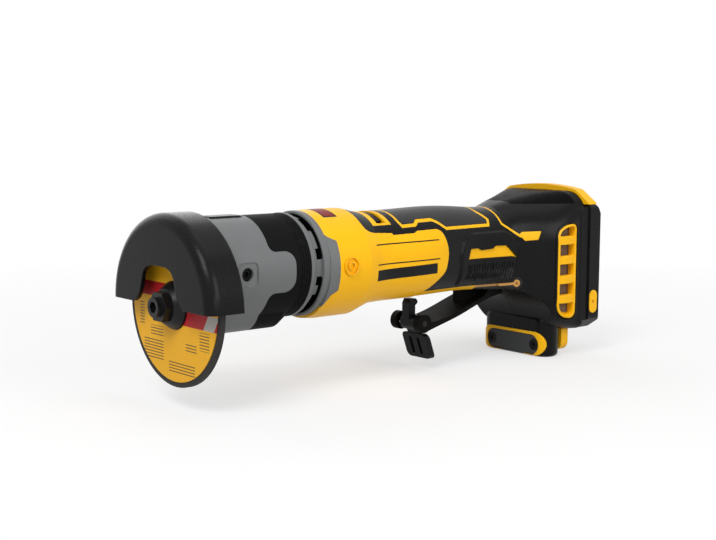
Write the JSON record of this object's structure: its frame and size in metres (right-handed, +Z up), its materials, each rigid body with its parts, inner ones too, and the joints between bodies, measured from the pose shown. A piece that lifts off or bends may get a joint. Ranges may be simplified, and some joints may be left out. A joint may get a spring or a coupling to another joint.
{
  "type": "cordless cut-off tool",
  "caption": "In-line cordless cut-off tool: thin abrasive wheel under a half-drum guard, round nose, soft-gripped handle with squeeze paddle and lock-off lever, flared battery foot.",
  "frame": {"origin": "under the middle of the tool's length, on the plane of the foot's base", "axes": "+X along the tool from the wheel to the battery rails, +Y to its right-hand half seen from behind the wheel, +Z up"},
  "size_m": [0.2762, 0.0852, 0.0973],
  "materials": {
    "abrasive": "bonded abrasive, rough",
    "label_paper": "printed paper, matt",
    "black_steel": "black oxide, satin",
    "guard_paint": "black powder coat",
    "steel": "turned and ground",
    "lamination": "stamped laminations",
    "cast_alloy": "die cast",
    "copper": "enamelled wire",
    "grey_plastic": "moulded, fine texture",
    "black_plastic": "moulded, fine texture",
    "yellow_plastic": "moulded, semi-gloss",
    "soft_grip": "overmoulded elastomer",
    "label_film": "printed film",
    "circuit": "potted electronics"
  },
  "bodies": {
    "base": {"spindle_front_bearing": "steel", "spindle_rear_bearing": "steel", "guard_retainer": "steel", "retainer_screws": "black_steel", "gear_case": "cast_alloy", "nose_collar": "black_plastic", "nose_shell": "grey_plastic", "spindle_lock_spring": "steel", "nose_screws": "black_steel", "gear_plate": "cast_alloy", "motor_front_bearing": "steel", "motor_rear_bearing": "steel", "stator_core": "lamination", "stator_windings": "copper", "motor_end_cap": "black_plastic", "vent_ring": "grey_plastic", "vent_grille_left": "yellow_plastic", "vent_grille_right": "yellow_plastic", "bay_frame": "yellow_plastic", "cover_plate": "black_plastic", "cover_screws": "black_steel", "housing_screws": "black_steel", "direction_label": "label_film", "housing_left": "yellow_plastic", "housing_right": "yellow_plastic", "grip_left": "soft_grip", "grip_right": "soft_grip", "crown_pad_left": "soft_grip", "crown_pad_right": "soft_grip", "paddle_pin": "steel", "paddle_spring": "steel", "switch_body": "black_plastic", "controller": "circuit", "battery_receiver": "black_plastic", "terminal_block": "black_plastic", "terminal_blades": "steel", "foot_strip": "yellow_plastic", "latch_catch": "yellow_plastic", "side_plugs": "yellow_plastic"},
    "spindle": {"cutting_wheel": "abrasive", "wheel_label": "label_paper", "outer_flange": "black_steel", "clamp_screw": "black_steel", "inner_flange": "steel", "spindle": "steel", "spindle_gear": "steel"},
    "rotor": {"motor_shaft": "steel", "motor_pinion": "steel", "motor_fan": "black_plastic", "rotor_core": "lamination"},
    "guard": {"wheel_guard": "guard_paint"},
    "lock_button": {"spindle_lock_button": "black_plastic"},
    "paddle": {"paddle": "black_plastic", "lock_lever_pin": "steel", "lock_lever_spring": "steel"},
    "lever": {"lock_lever": "black_plastic"},
    "plunger": {"switch_plunger": "black_plastic"},
    "selector": {"direction_selector": "black_plastic"}
  },
  "joints": [
    {"name": "spindle_spin", "type": "hinge", "parent": "base", "child": "spindle", "pos_m": [-0.1267, 0, 0.0491], "axis": [1, 0, 0], "continuous": true},
    {"name": "rotor_spin", "type": "hinge", "parent": "base", "child": "rotor", "pos_m": [-0.0667, 0, 0.0635], "axis": [1, 0, 0], "continuous": true},
    {"name": "guard_turn", "type": "hinge", "parent": "base", "child": "guard", "pos_m": [-0.1187, 0, 0.0491], "axis": [1, 0, 0], "range_deg": [-90, 90]},
    {"name": "spindle_lock", "type": "slide", "parent": "base", "child": "lock_button", "axis": [0, 0, -1], "range_m": [0, 0.003], "stiffness_N_per_m": 500, "springref_m": -0.002, "deforming": ["spindle_lock_spring"]},
    {"name": "paddle_squeeze", "type": "hinge", "parent": "base", "child": "paddle", "pos_m": [0.0803, 0, 0.045], "axis": [0, 1, 0], "range_deg": [0, 11], "stiffness_Nm_per_rad": 1.2, "springref_deg": -8.59},
    {"name": "lever_tip", "type": "hinge", "parent": "paddle", "child": "lever", "pos_m": [0.0208, 0, 0.0265], "axis": [0, -1, 0], "range_deg": [0, 20], "stiffness_Nm_per_rad": 0.05, "springref_deg": -17.19},
    {"name": "plunger_press", "type": "slide", "parent": "base", "child": "plunger", "axis": [0, 0, 1], "range_m": [0, 0.0039]},
    {"name": "direction_select", "type": "hinge", "parent": "base", "child": "selector", "pos_m": [-0.0147, 0, 0.0641], "axis": [1, 0, 0], "range_deg": [-6, 6]}
  ],
  "couplings": [
    {"joint": "rotor_spin", "follows": "spindle_spin", "ratio": -1.4},
    {"joint": "plunger_press", "follows": "paddle_squeeze", "m_per_rad": 0.02}
  ]
}
